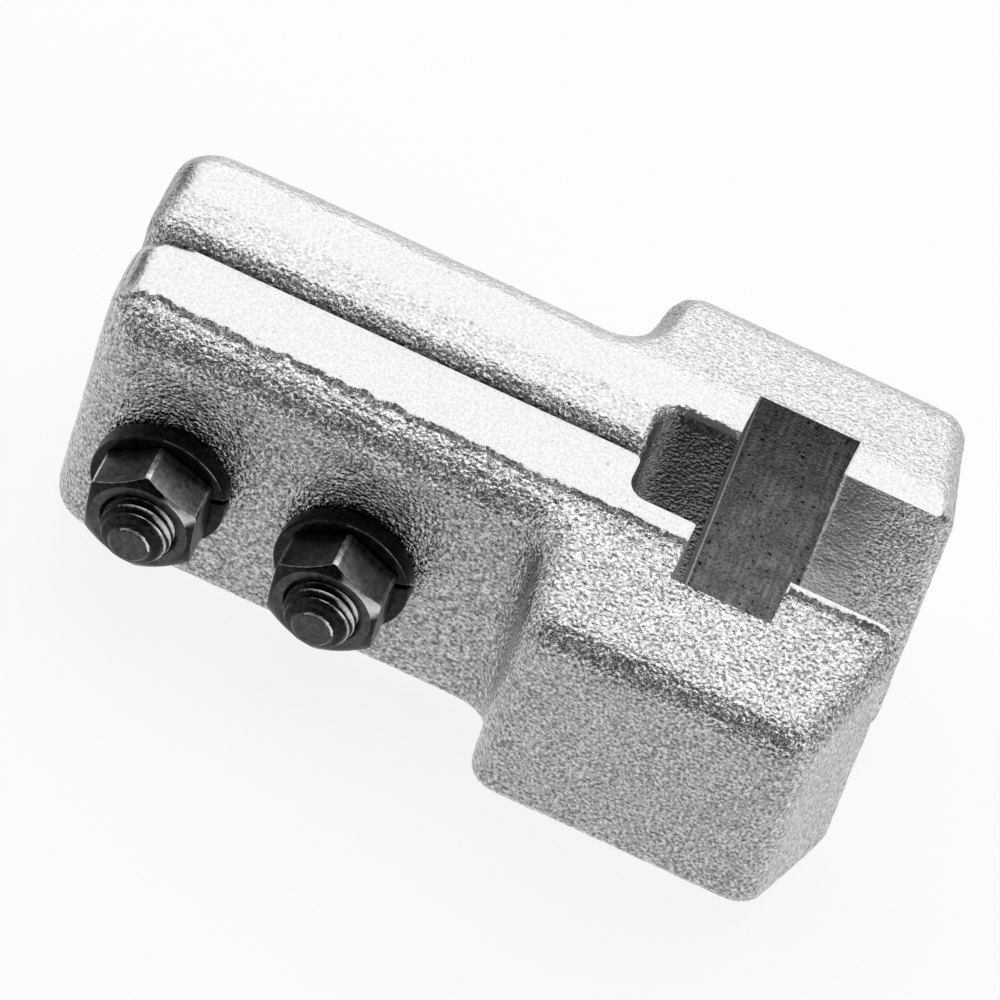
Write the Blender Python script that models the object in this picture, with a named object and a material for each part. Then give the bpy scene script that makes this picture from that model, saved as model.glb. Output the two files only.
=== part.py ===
# A cast clamp block, split along its length into two halves that two bolts pull together.
# Its head has a cross-shaped opening that grips a profile, and its shank carries the bolts.
# Metres, X along the block with the head at +X, Y along the bolts with the nuts at -Y, Z up.

import math
from collections import namedtuple

import bmesh
import bpy
from mathutils import Matrix, Vector

# Block in plan, measured from its shank end and from the middle of the split
SHANK_LENGTH = 0.0786
FRONT_HEAD_LENGTH = 0.0592
REAR_HEAD_LENGTH = 0.0580
FRONT_SHANK_REACH = 0.0200
REAR_SHANK_REACH = 0.0222
HEAD_REACH = 0.0385
SPLIT_GAP = 0.0004
END_FACE_ANGLE = math.radians(13.0)
FRONT_WING_FACE_ANGLE = math.radians(11.0)
REAR_WING_FACE_ANGLE = math.radians(6.0)

# Block in height
FRONT_HEIGHT = 0.0510
REAR_HEIGHT = 0.0546
FRONT_WING_SLOPE = math.radians(10.5)
REAR_WING_SLOPE = math.radians(9.5)
WING_UNDERSIDE_SLOPE = math.radians(12.5)
CREASE_SETBACK = 0.0006
CASTING_DRAFT = math.radians(2.5)

# Ground strip along the split of the front half, which stands above the cast skin beyond it
STRIP_RISE = 0.0007
STRIP_RAMP = 0.0012

# Cross-shaped opening: a pocket, a closed arm towards the shank and an open arm at the end
POCKET_LENGTH = 0.0175
POCKET_REACH = 0.0194
OPEN_ARM_LENGTH = 0.0205
OPEN_ARM_REACH = 0.0112
CLOSED_ARM_LENGTH = 0.0125
FRONT_CLOSED_ARM_REACH = 0.0084
REAR_CLOSED_ARM_REACH = 0.0090

# Cast radii of the corners in plan
SPLIT_CORNER_RADIUS = 0.0025
SHANK_CORNER_RADIUS = 0.0085
STEP_FILLET_RADIUS = 0.0060
WING_CORNER_RADIUS = 0.0060
HEAD_CORNER_RADIUS = 0.0055
ARM_MOUTH_RADIUS = 0.0025
ARM_FILLET_RADIUS = 0.0035
ARM_LIP_RADIUS = 0.0015

# Cast radii of the edges between the sides and the top, and of those round the foot
END_EDGE_RADIUS = 0.0050
SHANK_EDGE_RADIUS = 0.0060
WING_EDGE_RADIUS = 0.0050
HEAD_END_EDGE_RADIUS = 0.0045
REAR_SPLIT_EDGE_RADIUS = 0.0014
REAR_ARM_EDGE_RADIUS = 0.0025
FOOT_RADIUS = 0.0025

# Bolts, nuts and spring washers
THREAD_DIAMETER = 0.0120
HEX_ACROSS_FLATS = 0.0180
HEX_FACE_INSET = 0.00075
HEX_CHAMFER_ANGLE = math.radians(30.0)
BOLT_HEAD_HEIGHT = 0.0075
BOLT_POINT_DIAMETER = 0.0070
BOLT_END_PROTRUSION = 0.0046
NUT_HEIGHT = 0.0083
NUT_COUNTERSINK = 0.0006
NUT_BEARINGS = (math.radians(38.0), math.radians(34.0))
WASHER_DIAMETER = 0.0230
WASHER_THICKNESS = 0.0033
WASHER_SPLIT = 0.0008
WASHER_SPLIT_SLANT = math.radians(35.0)
WASHER_SPLIT_BEARING = math.radians(14.0)
BOLT_FROM_END = 0.0190
BOLT_SPACING = 0.0321
BOLT_HEIGHT = 0.0215

# Fits
BOLT_HOLE_CLEARANCE = 0.0015
RUNNING_CLEARANCE = 0.0006
SEAT_GAP = 0.0003

# Facets
PLAN_STEPS = 7
EDGE_STEPS = 5
ROUND_SEGMENTS = 48
SAME_POINT = 1.0e-7

Corner = namedtuple("Corner", "x reach radius edge")
Edge = namedtuple("Edge", "top bottom")
Point = namedtuple("Point", "place inset radius")
Half = namedtuple("Half", "name side height head_length shank_reach arm_reach wing_angle wing_slope "
                          "strip_rise split_edge arm_edge")

SHARP = Edge(0.0, 0.0)
BLOCK_START = -(SHANK_LENGTH + max(FRONT_HEAD_LENGTH, REAR_HEAD_LENGTH)) / 2.0
HALVES = (
    Half("rear_half", 1.0, REAR_HEIGHT, REAR_HEAD_LENGTH, REAR_SHANK_REACH, REAR_CLOSED_ARM_REACH,
         REAR_WING_FACE_ANGLE, REAR_WING_SLOPE, 0.0, Edge(REAR_SPLIT_EDGE_RADIUS, 0.0),
         Edge(REAR_ARM_EDGE_RADIUS, 0.0)),
    Half("front_half", -1.0, FRONT_HEIGHT, FRONT_HEAD_LENGTH, FRONT_SHANK_REACH, FRONT_CLOSED_ARM_REACH,
         FRONT_WING_FACE_ANGLE, FRONT_WING_SLOPE, STRIP_RISE, SHARP, SHARP),
)

CAST_ZINC = ((0.70, 0.71, 0.72), 0.42, 1.0)
BLACK_STEEL = ((0.055, 0.055, 0.058), 0.38, 0.9)


def clear_scene():
    for old in list(bpy.data.objects):
        bpy.data.objects.remove(old, do_unlink=True)


def make_material(name, finish):
    colour, roughness, metallic = finish
    material = bpy.data.materials.new(name)
    material.use_nodes = True
    shader = material.node_tree.nodes["Principled BSDF"]
    shader.inputs["Base Color"].default_value = (*colour, 1.0)
    shader.inputs["Roughness"].default_value = roughness
    shader.inputs["Metallic"].default_value = metallic
    return material


def add_object(name, bm, finish=None):
    bmesh.ops.recalc_face_normals(bm, faces=bm.faces)
    mesh = bpy.data.meshes.new(name)
    bm.to_mesh(mesh)
    bm.free()
    mesh.shade_smooth()
    mesh.set_sharp_from_angle(angle=math.radians(30.0))
    piece = bpy.data.objects.new(name, mesh)
    bpy.context.scene.collection.objects.link(piece)
    if finish:
        mesh.materials.append(make_material(name + "_finish", finish))
    return piece


def add_boolean(piece, operation, tool):
    tool.hide_render = True
    tool.display_type = "WIRE"
    step = piece.modifiers.new(tool.name, "BOOLEAN")
    step.operation = operation
    step.solver = "EXACT"
    step.object = tool


# Plan outline of one half: its corners become arcs, and each point knows how its edge is rounded

def edge_crossing(before, after, radius_before, radius_after):
    # The step from a corner to where its two edges cross once they are set in by their radii
    normals = Matrix(((-before.y, before.x), (-after.y, after.x)))
    return normals.inverted() @ Vector((radius_before, radius_after))


def arc_point(place, inward, target, share, radii, tight):
    # How far one point of a corner's arc is set in, and the radius of its edge there
    first, second = radii
    widest = max(radii)
    if widest == 0.0:
        return Vector((0.0, 0.0)), 0.0
    if min(radii) == 0.0:
        return target - place, widest
    radius = first + (second - first) * share
    if tight:
        return target - place, radius
    return inward * radius, radius


def corner_points(previous, corner, following):
    here = Vector((corner.x, corner.reach))
    before = (here - Vector((previous.x, previous.reach))).normalized()
    after = (Vector((following.x, following.reach)) - here).normalized()
    levels = list(zip(previous.edge, corner.edge))
    targets = [here + edge_crossing(before, after, *radii) for radii in levels]
    if corner.radius == 0.0:
        insets = [target - here for target in targets]
        return [Point(here, insets, [max(radii) for radii in levels])]
    turn = -before.angle_signed(after)
    bend = math.copysign(1.0, turn)
    start = here - before * corner.radius * math.tan(abs(turn) / 2.0)
    spoke = Vector((before.y, -before.x)) * bend * corner.radius
    centre = start - spoke
    points = []
    for step in range(PLAN_STEPS + 1):
        share = step / PLAN_STEPS
        arm = Matrix.Rotation(turn * share, 2) @ spoke
        inward = arm.normalized() * -bend
        insets = []
        radius = []
        for target, radii in zip(targets, levels):
            tight = bend > 0.0 and max(radii) >= corner.radius
            inset, edge_radius = arc_point(centre + arm, inward, target, share, radii, tight)
            insets.append(inset)
            radius.append(edge_radius)
        points.append(Point(centre + arm, insets, radius))
    return points


def outline(corners):
    points = []
    for index, corner in enumerate(corners):
        following = corners[(index + 1) % len(corners)]
        points.extend(corner_points(corners[index - 1], corner, following))
    return points


def half_corners(half, depth):
    # The half's corners at a depth below its top: along the split, then back round the outside
    drafted = depth * math.tan(CASTING_DRAFT)
    split = SPLIT_GAP / 2.0
    shank_end = BLOCK_START + drafted
    step = shank_end + SHANK_LENGTH
    wing = BLOCK_START + SHANK_LENGTH + (HEAD_REACH - half.shank_reach) * math.tan(half.wing_angle)
    pocket_end = BLOCK_START + SHANK_LENGTH + FRONT_HEAD_LENGTH - OPEN_ARM_LENGTH
    pocket_start = pocket_end - POCKET_LENGTH
    arm_end = pocket_start - CLOSED_ARM_LENGTH
    rounded_off = math.tan(END_FACE_ANGLE) + 1.0 / math.cos(END_FACE_ANGLE) - 1.0
    mouth = BLOCK_START + SHANK_LENGTH + half.head_length + ARM_MOUTH_RADIUS * rounded_off
    head_end = mouth - (HEAD_REACH - OPEN_ARM_REACH) * math.tan(END_FACE_ANGLE)
    end_edge = Edge(END_EDGE_RADIUS, FOOT_RADIUS)
    shank_edge = Edge(SHANK_EDGE_RADIUS, FOOT_RADIUS)
    wing_edge = Edge(WING_EDGE_RADIUS, FOOT_RADIUS)
    head_edge = Edge(HEAD_END_EDGE_RADIUS, FOOT_RADIUS)
    return [
        Corner(shank_end, split, SPLIT_CORNER_RADIUS, half.split_edge),
        Corner(arm_end, split, ARM_LIP_RADIUS, half.arm_edge),
        Corner(arm_end, half.arm_reach, ARM_FILLET_RADIUS, half.arm_edge),
        Corner(pocket_start, half.arm_reach, 0.0, SHARP),
        Corner(pocket_start, POCKET_REACH, 0.0, SHARP),
        Corner(pocket_end, POCKET_REACH, 0.0, SHARP),
        Corner(pocket_end, OPEN_ARM_REACH, 0.0, SHARP),
        Corner(mouth, OPEN_ARM_REACH, ARM_MOUTH_RADIUS, head_edge),
        Corner(head_end, HEAD_REACH, HEAD_CORNER_RADIUS, wing_edge),
        Corner(wing, HEAD_REACH, WING_CORNER_RADIUS, wing_edge),
        Corner(step, half.shank_reach, STEP_FILLET_RADIUS, shank_edge),
        Corner(shank_end, half.shank_reach, SHANK_CORNER_RADIUS, end_edge),
    ]


def column(half, upper, lower, add):
    # One vertical run of points: rounded bottom edge, side, rounded top edge
    run = []
    for step in range(EDGE_STEPS + 1):
        angle = math.radians(90.0) * step / EDGE_STEPS
        place = lower.place + lower.inset[1] * (1.0 - math.sin(angle))
        run.append(add(place, lower.radius[1] * (1.0 - math.cos(angle))))
    for step in range(EDGE_STEPS + 1):
        angle = math.radians(90.0) * step / EDGE_STEPS
        place = upper.place + upper.inset[0] * (1.0 - math.cos(angle))
        run.append(add(place, half.height - upper.radius[0] * (1.0 - math.sin(angle))))
    return run


def skin_between(bm, first, second):
    # Faces between two neighbouring columns, which share points where an edge is sharp
    for low in range(len(first) - 1):
        loop = (first[low], second[low], second[low + 1], first[low + 1])
        corners = list(dict.fromkeys(loop))
        if len(corners) > 2:
            bm.faces.new(corners)


def crease_reach(half, edge_radius):
    # The wings fall away from a line just inside the shank's rounded edge
    return half.shank_reach - edge_radius - CREASE_SETBACK


def crease_along(bm, half, reach):
    # New edges round the half, parallel to the split
    bmesh.ops.bisect_plane(bm, geom=bm.verts[:] + bm.edges[:] + bm.faces[:], dist=SAME_POINT,
                           plane_co=(0.0, half.side * reach, 0.0), plane_no=(0.0, 1.0, 0.0))


def slope_wing(bm, half, edge_radius, slope, upper):
    # The wing's top or underside falls away outwards from its crease
    crease = crease_reach(half, edge_radius)
    crease_along(bm, half, crease)
    for vertex in bm.verts:
        beyond = max(0.0, vertex.co.y * half.side - crease)
        if (vertex.co.z > half.height / 2.0) == upper:
            vertex.co.z -= beyond * math.tan(slope)


def lower_skin(bm, half):
    # Beyond the ground strip the cast skin lies lower, with a short ramp between the two
    strip_edge = crease_reach(half, SHANK_EDGE_RADIUS)
    crease_along(bm, half, strip_edge + STRIP_RAMP)
    for vertex in bm.verts:
        share = (vertex.co.y * half.side - strip_edge) / STRIP_RAMP
        if vertex.co.z > half.height / 2.0:
            vertex.co.z -= half.strip_rise * min(1.0, max(0.0, share))


def make_half(half):
    bm = bmesh.new()
    known = {}

    def add(place, height):
        spot = (place.x, place.y * half.side, height)
        key = tuple(round(value / SAME_POINT) for value in spot)
        if key not in known:
            known[key] = bm.verts.new(spot)
        return known[key]

    upper = outline(half_corners(half, 0.0))
    lower = outline(half_corners(half, half.height))
    columns = [column(half, high, low, add) for high, low in zip(upper, lower)]
    for index, run in enumerate(columns):
        skin_between(bm, run, columns[(index + 1) % len(columns)])
    caps = [bm.faces.new(list(dict.fromkeys(run[level] for run in columns))) for level in (0, -1)]
    bm.normal_update()
    bmesh.ops.triangulate(bm, faces=caps)
    slope_wing(bm, half, SHANK_EDGE_RADIUS, half.wing_slope, True)
    if half.strip_rise:
        lower_skin(bm, half)
    slope_wing(bm, half, FOOT_RADIUS, -WING_UNDERSIDE_SLOPE, False)
    return add_object(half.name, bm, CAST_ZINC)


# Turned and hexagonal pieces, each about its own Z axis

def turned(profile):
    # A solid of revolution from (radius, height) points that run down its outer side
    bm = bmesh.new()
    points = [bm.verts.new((radius, 0.0, height)) for radius, height in profile]
    edges = [bm.edges.new(pair) for pair in zip(points, points[1:])]
    bmesh.ops.spin(bm, geom=points + edges, axis=(0.0, 0.0, 1.0), cent=(0.0, 0.0, 0.0),
                   angle=math.tau, steps=ROUND_SEGMENTS, use_merge=True)
    bmesh.ops.remove_doubles(bm, verts=bm.verts, dist=SAME_POINT)
    return bm


def make_hexagon(name, low, high, chamfer_low):
    # A hexagon whose corners a turned envelope takes off, at the top and if wanted at the bottom
    bm = bmesh.new()
    corner_reach = HEX_ACROSS_FLATS / 2.0 / math.cos(math.radians(30.0))
    bmesh.ops.create_cone(bm, cap_ends=True, segments=6, radius1=corner_reach, radius2=corner_reach,
                          depth=high - low, matrix=Matrix.Translation((0.0, 0.0, (high + low) / 2.0)))
    hexagon = add_object(name, bm, BLACK_STEEL)
    face = HEX_ACROSS_FLATS / 2.0 - HEX_FACE_INSET
    wide = corner_reach + HEX_FACE_INSET
    fall = (wide - face) * math.tan(HEX_CHAMFER_ANGLE)
    profile = [(0.0, high), (face, high), (wide, high - fall)]
    if chamfer_low:
        profile += [(wide, low + fall), (face, low), (0.0, low)]
    else:
        profile += [(wide, low - fall), (0.0, low - fall)]
    envelope = add_object(name + "_envelope", turned(profile))
    envelope.parent = hexagon
    add_boolean(hexagon, "INTERSECT", envelope)
    return hexagon


def make_nut(name):
    nut = make_hexagon(name, 0.0, NUT_HEIGHT, True)
    bore = (THREAD_DIAMETER + RUNNING_CLEARANCE) / 2.0
    mouth = bore + NUT_COUNTERSINK
    beyond = mouth + NUT_COUNTERSINK
    profile = [(0.0, NUT_HEIGHT + NUT_COUNTERSINK), (beyond, NUT_HEIGHT + NUT_COUNTERSINK),
               (bore, NUT_HEIGHT - NUT_COUNTERSINK), (bore, NUT_COUNTERSINK),
               (beyond, -NUT_COUNTERSINK), (0.0, -NUT_COUNTERSINK)]
    drill = add_object(name + "_bore", turned(profile))
    drill.parent = nut
    add_boolean(nut, "DIFFERENCE", drill)
    return nut


def make_bolt(name, grip):
    # The head's seat is at Z = 0 and the shank runs down by the grip to the point
    bolt = make_hexagon(name, 0.0, BOLT_HEAD_HEIGHT, False)
    radius = THREAD_DIAMETER / 2.0
    point = BOLT_POINT_DIAMETER / 2.0
    inside = BOLT_HEAD_HEIGHT / 2.0
    profile = [(0.0, inside), (radius, inside), (radius, radius - point - grip), (point, -grip), (0.0, -grip)]
    shank = add_object(name + "_shank", turned(profile))
    shank.parent = bolt
    add_boolean(bolt, "UNION", shank)
    return bolt


def make_spring_washer(name):
    # A flat spring ring, cut through on a slant
    inner = (THREAD_DIAMETER + RUNNING_CLEARANCE) / 2.0
    outer = WASHER_DIAMETER / 2.0
    gap = WASHER_SPLIT / outer
    slant = WASHER_THICKNESS * math.tan(WASHER_SPLIT_SLANT) / outer
    bm = bmesh.new()
    section = [bm.verts.new((radius, 0.0, height)) for radius, height in (
        (inner, 0.0), (outer, 0.0), (outer, WASHER_THICKNESS), (inner, WASHER_THICKNESS))]
    start = [bm.edges.new((section[side - 1], section[side])) for side in range(4)]
    turn = bmesh.ops.spin(bm, geom=section + start, axis=(0.0, 0.0, 1.0), cent=(0.0, 0.0, 0.0),
                          angle=math.tau - gap, steps=ROUND_SEGMENTS)
    finish = [part for part in turn["geom_last"] if isinstance(part, bmesh.types.BMEdge)]
    bmesh.ops.edgeloop_fill(bm, edges=start)
    bmesh.ops.edgeloop_fill(bm, edges=finish)
    for vertex in bm.verts:
        lean = slant * (vertex.co.z / WASHER_THICKNESS - 0.5)
        vertex.co.rotate(Matrix.Rotation(WASHER_SPLIT_BEARING + gap / 2.0 + lean, 3, "Z"))
    return add_object(name, bm, BLACK_STEEL)


def make_bolt_axis(number):
    # An empty on the bolt's axis at the split, its Z pointing out of the front face
    axis = bpy.data.objects.new(f"bolt_axis_{number}", None)
    bpy.context.scene.collection.objects.link(axis)
    from_end = BOLT_FROM_END + BOLT_SPACING * (number - 1)
    axis.location = (BLOCK_START + from_end, 0.0, BOLT_HEIGHT)
    axis.rotation_euler = (math.radians(90.0), 0.0, 0.0)
    return axis


def drill_half(piece, axis, number):
    # A plain hole right through the half, round the bolt's axis
    radius = (THREAD_DIAMETER + BOLT_HOLE_CLEARANCE) / 2.0
    length = (FRONT_SHANK_REACH + REAR_SHANK_REACH) * 2.0
    bm = bmesh.new()
    bmesh.ops.create_cone(bm, cap_ends=True, segments=ROUND_SEGMENTS, radius1=radius, radius2=radius,
                          depth=length)
    drill = add_object(f"{piece.name}_hole_{number}", bm)
    drill.parent = axis
    add_boolean(piece, "DIFFERENCE", drill)


def fasten(number, axis):
    # Bolt from the rear, spring washer and nut on the front
    washer_seat = FRONT_SHANK_REACH + SEAT_GAP
    nut_seat = washer_seat + WASHER_THICKNESS + SEAT_GAP
    head_seat = REAR_SHANK_REACH + SEAT_GAP
    grip = head_seat + nut_seat + NUT_HEIGHT + BOLT_END_PROTRUSION
    bolt = make_bolt(f"bolt_{number}", grip)
    bolt.rotation_euler.x = math.radians(180.0)
    bolt.location.z = -head_seat
    washer = make_spring_washer(f"spring_washer_{number}")
    washer.location.z = washer_seat
    nut = make_nut(f"nut_{number}")
    nut.location.z = nut_seat
    nut.rotation_euler.z = NUT_BEARINGS[number - 1] - math.radians(90.0)
    for piece in (bolt, washer, nut):
        piece.parent = axis


def main():
    clear_scene()
    halves = [make_half(half) for half in HALVES]
    for number in (1, 2):
        axis = make_bolt_axis(number)
        for piece in halves:
            drill_half(piece, axis, number)
        fasten(number, axis)


main()
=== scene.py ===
import math

import bmesh
import bpy
from mathutils import Matrix, Vector, noise


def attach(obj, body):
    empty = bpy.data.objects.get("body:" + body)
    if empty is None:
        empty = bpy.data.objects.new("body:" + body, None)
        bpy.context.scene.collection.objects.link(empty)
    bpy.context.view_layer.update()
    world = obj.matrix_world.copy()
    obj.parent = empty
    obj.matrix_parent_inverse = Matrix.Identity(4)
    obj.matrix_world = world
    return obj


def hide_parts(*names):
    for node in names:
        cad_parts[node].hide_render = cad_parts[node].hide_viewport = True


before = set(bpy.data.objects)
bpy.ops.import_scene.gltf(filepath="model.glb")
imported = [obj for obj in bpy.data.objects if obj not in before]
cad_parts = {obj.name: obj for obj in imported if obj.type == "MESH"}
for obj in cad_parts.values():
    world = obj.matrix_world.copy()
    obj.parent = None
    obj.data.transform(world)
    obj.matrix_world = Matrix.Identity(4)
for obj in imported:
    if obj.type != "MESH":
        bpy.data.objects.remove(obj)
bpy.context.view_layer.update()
mm = 0.001
weld = {"mesh": 0.001 * mm, "edge": 0.002 * mm, "thread": 0.004 * mm}


# Shared helpers for nodes, meshes and pieces

def addNode(tree, kind, inputs=None, **settings):
    node = tree.nodes.new(kind)
    for key, value in settings.items():
        setattr(node, key, value)
    for key, value in (inputs or {}).items():
        node.inputs[key].default_value = value
    return node


def feed(tree, entry, value):
    # A number or colour is set on the socket, anything else is linked to it
    if isinstance(value, (int, float)):
        entry.default_value = value
    elif isinstance(value, tuple):
        entry.default_value = (*value, 1.0)
    else:
        tree.links.new(value, entry)


def calculate(tree, operation, first, second):
    node = addNode(tree, "ShaderNodeMath", operation=operation)
    feed(tree, node.inputs[0], first)
    feed(tree, node.inputs[1], second)
    return node.outputs[0]


def spread(tree, value, low, high, outLow=0.0, outHigh=1.0):
    node = addNode(tree, "ShaderNodeMapRange", interpolation_type="SMOOTHSTEP",
                   inputs={"From Min": low, "From Max": high, "To Min": outLow, "To Max": outHigh})
    feed(tree, node.inputs["Value"], value)
    return node.outputs["Result"]


def blend(tree, factor, first, second, way="MIX"):
    node = addNode(tree, "ShaderNodeMix", data_type="RGBA", blend_type=way)
    for place, value in ((0, factor), (6, first), (7, second)):
        feed(tree, node.inputs[place], value)
    return node.outputs[2]


def noiseNode(tree, place, scale, detail=2.0, roughness=0.5):
    node = addNode(tree, "ShaderNodeTexNoise", inputs={"Detail": detail, "Roughness": roughness})
    feed(tree, node.inputs["Scale"], scale)
    feed(tree, node.inputs["Vector"], place)
    return node.outputs["Fac"]


def newMaterial(name, metallic):
    material = bpy.data.materials.new(name)
    material.use_nodes = True
    shader = material.node_tree.nodes["Principled BSDF"]
    shader.inputs["Metallic"].default_value = metallic
    return material, material.node_tree, shader


def emboss(tree, shader, height, depth):
    bump = addNode(tree, "ShaderNodeBump", inputs={"Distance": depth, "Strength": 1.0})
    feed(tree, bump.inputs["Height"], height)
    tree.links.new(bump.outputs["Normal"], shader.inputs["Normal"])


def meshObject(name, bm):
    mesh = bpy.data.meshes.new(name)
    bm.to_mesh(mesh)
    bm.free()
    piece = bpy.data.objects.new(name, mesh)
    bpy.context.scene.collection.objects.link(piece)
    return piece


def bakeModifiers(piece):
    bpy.context.view_layer.update()
    shown = piece.evaluated_get(bpy.context.evaluated_depsgraph_get())
    finished = bpy.data.meshes.new_from_object(shown)
    piece.modifiers.clear()
    piece.data = finished
    return piece


def cutWith(piece, tool, operation):
    step = piece.modifiers.new(tool.name, "BOOLEAN")
    step.operation = operation
    step.solver = "EXACT"
    step.object = tool
    bakeModifiers(piece)
    bpy.data.objects.remove(tool, do_unlink=True)
    return piece


def dress(piece, materials):
    # Materials go into their slots without touching the faces' own choice of slot
    slots = piece.data.materials
    for index, material in enumerate(materials):
        if index < len(slots):
            slots[index] = material
        else:
            slots.append(material)


def stand(piece, body, node):
    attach(piece, body)
    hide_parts(node)
    print(piece.name, len(piece.data.polygons), "faces")


def nodeBox(name):
    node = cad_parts[name]
    spots = [node.matrix_world @ vertex.co for vertex in node.data.vertices]
    low = Vector([min(spot[axis] for spot in spots) for axis in range(3)])
    high = Vector([max(spot[axis] for spot in spots) for axis in range(3)])
    return low, high


def smoothStep(value, low, high):
    share = min(1.0, max(0.0, (value - low) / (high - low)))
    return share * share * (3.0 - 2.0 * share)


def alongTable(value, table):
    # Straight-line reading between the rows of a small table
    for (start, first), (end, last) in zip(table, table[1:]):
        if value <= end:
            return first + (last - first) * max(0.0, value - start) / (end - start)
    return table[-1][1]


# Surface effects that several finishes share

castPattern = {"smoothness": 0.35, "grit": (2.0, 0.6), "cells": 0.55, "clumpScale": 0.3, "clumps": 0.5,
               "mottle": (160.0, 5.0, 0.65), "sparkleScale": 1.15, "pits": 750.0, "pitRange": (0.72, 0.77)}
scuffPattern = {"fine": (1700.0, 3.0, 0.65), "fineRange": (0.52, 0.68), "cloud": (950.0, 6.0, 0.75),
                "cloudRange": (0.45, 0.62)}


def makeCastGrain():
    # Sand-cast pebbles, with larger mottling and a few pits
    pattern = castPattern
    group = bpy.data.node_groups.new("castGrain", "ShaderNodeTree")
    sockets = group.interface
    sockets.new_socket(name="Pebble Size", in_out="INPUT", socket_type="NodeSocketFloat")
    for name in ("Height", "Mottle", "Sparkle", "Pits"):
        sockets.new_socket(name=name, in_out="OUTPUT", socket_type="NodeSocketFloat")
    entry = addNode(group, "NodeGroupInput")
    leave = addNode(group, "NodeGroupOutput")
    place = addNode(group, "ShaderNodeTexCoord").outputs["Object"]
    scale = calculate(group, "DIVIDE", 1.0, entry.outputs["Pebble Size"])
    cells = addNode(group, "ShaderNodeTexVoronoi", feature="SMOOTH_F1",
                    inputs={"Smoothness": pattern["smoothness"]})
    feed(group, cells.inputs["Vector"], place)
    feed(group, cells.inputs["Scale"], scale)
    pebbles = calculate(group, "SUBTRACT", noiseNode(group, place, scale, *pattern["grit"]),
                        calculate(group, "MULTIPLY", cells.outputs["Distance"], pattern["cells"]))
    clumps = noiseNode(group, place, calculate(group, "MULTIPLY", scale, pattern["clumpScale"]), 1.0)
    height = calculate(group, "ADD", pebbles, calculate(group, "MULTIPLY", clumps, pattern["clumps"]))
    feed(group, leave.inputs["Height"], height)
    feed(group, leave.inputs["Mottle"], noiseNode(group, place, *pattern["mottle"]))
    sparkle = noiseNode(group, place, calculate(group, "MULTIPLY", scale, pattern["sparkleScale"]), 1.0)
    feed(group, leave.inputs["Sparkle"], sparkle)
    pits = noiseNode(group, place, pattern["pits"], 1.0)
    feed(group, leave.inputs["Pits"], spread(group, pits, *pattern["pitRange"]))
    return group


def makeSteelScuff():
    # Cloudy oxide with fine scuffs
    pattern = scuffPattern
    group = bpy.data.node_groups.new("steelScuff", "ShaderNodeTree")
    for name in ("Scuff", "Cloud", "Height"):
        group.interface.new_socket(name=name, in_out="OUTPUT", socket_type="NodeSocketFloat")
    leave = addNode(group, "NodeGroupOutput")
    place = addNode(group, "ShaderNodeTexCoord").outputs["Object"]
    fine = noiseNode(group, place, *pattern["fine"])
    cloud = noiseNode(group, place, *pattern["cloud"])
    scuff = calculate(group, "MULTIPLY", spread(group, fine, *pattern["fineRange"]),
                      spread(group, cloud, *pattern["cloudRange"]))
    feed(group, leave.inputs["Scuff"], scuff)
    feed(group, leave.inputs["Cloud"], cloud)
    feed(group, leave.inputs["Height"], fine)
    return group


castGrain = makeCastGrain()
steelScuff = makeSteelScuff()


# Finishes

# Bright specks are painted glints and dark specks painted shade on the pebbles; one darker colour is
# multiplied in as painted shade
castLook = {"pale": (0.62, 0.625, 0.63), "darkToneAndShade": (0.49, 0.495, 0.50), "ground": (0.62, 0.625, 0.63),
            "cloud": (0.54, 0.545, 0.55), "glint": (0.90, 0.90, 0.90), "shade": (0.21, 0.21, 0.212),
            "pit": (0.08, 0.08, 0.08), "paintedShade": (0.29, 0.29, 0.293), "roughness": (0.17, 0.27),
            "pebble": 0.66 * mm, "depth": 0.38 * mm, "paleRange": (0.34, 0.66), "shadeRange": (0.32, 0.50),
            "glintRange": (0.53, 0.68), "groundRange": (0.35, 0.60), "pebblyRange": (0.25, 1.05),
            "pitShare": (0.25, 0.60), "roughRange": (0.32, 0.68)}
# The wall's glints are painted, and its band near the pocket's end is painted shade
wallLook = {"pale": (0.32, 0.32, 0.324), "darkToneAndShade": (0.11, 0.11, 0.113), "pit": (0.008, 0.008, 0.008),
            "line": (0.66, 0.66, 0.66), "roughness": (0.32, 0.46), "pebble": 0.60 * mm, "depth": 0.06 * mm,
            "marks": (1300.0, 2.0, 0.6), "stretch": (1.0, 1.0, 0.07), "marksRange": (0.30, 0.70),
            "cloudRange": (0.25, 0.70), "sparkleRange": (0.35, 0.65), "sparkleTone": (-0.22, 0.22),
            "speck": (1150.0, 2.0, 0.6), "speckRange": (0.62, 0.68), "specks": 1.0,
            "corner": (31.00 * mm, 31.30 * mm), "cornerShare": 0.75,
            "shade": (47.95 * mm, 48.25 * mm), "shadeShare": 0.8}
# The pocket's side walls: a darker copy of the cut wall, as painted shade
shadedSideLook = dict(wallLook, pale=(0.085, 0.085, 0.087), darkToneAndShade=(0.05, 0.05, 0.051), depth=0.002 * mm, specks=0.0)
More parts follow.
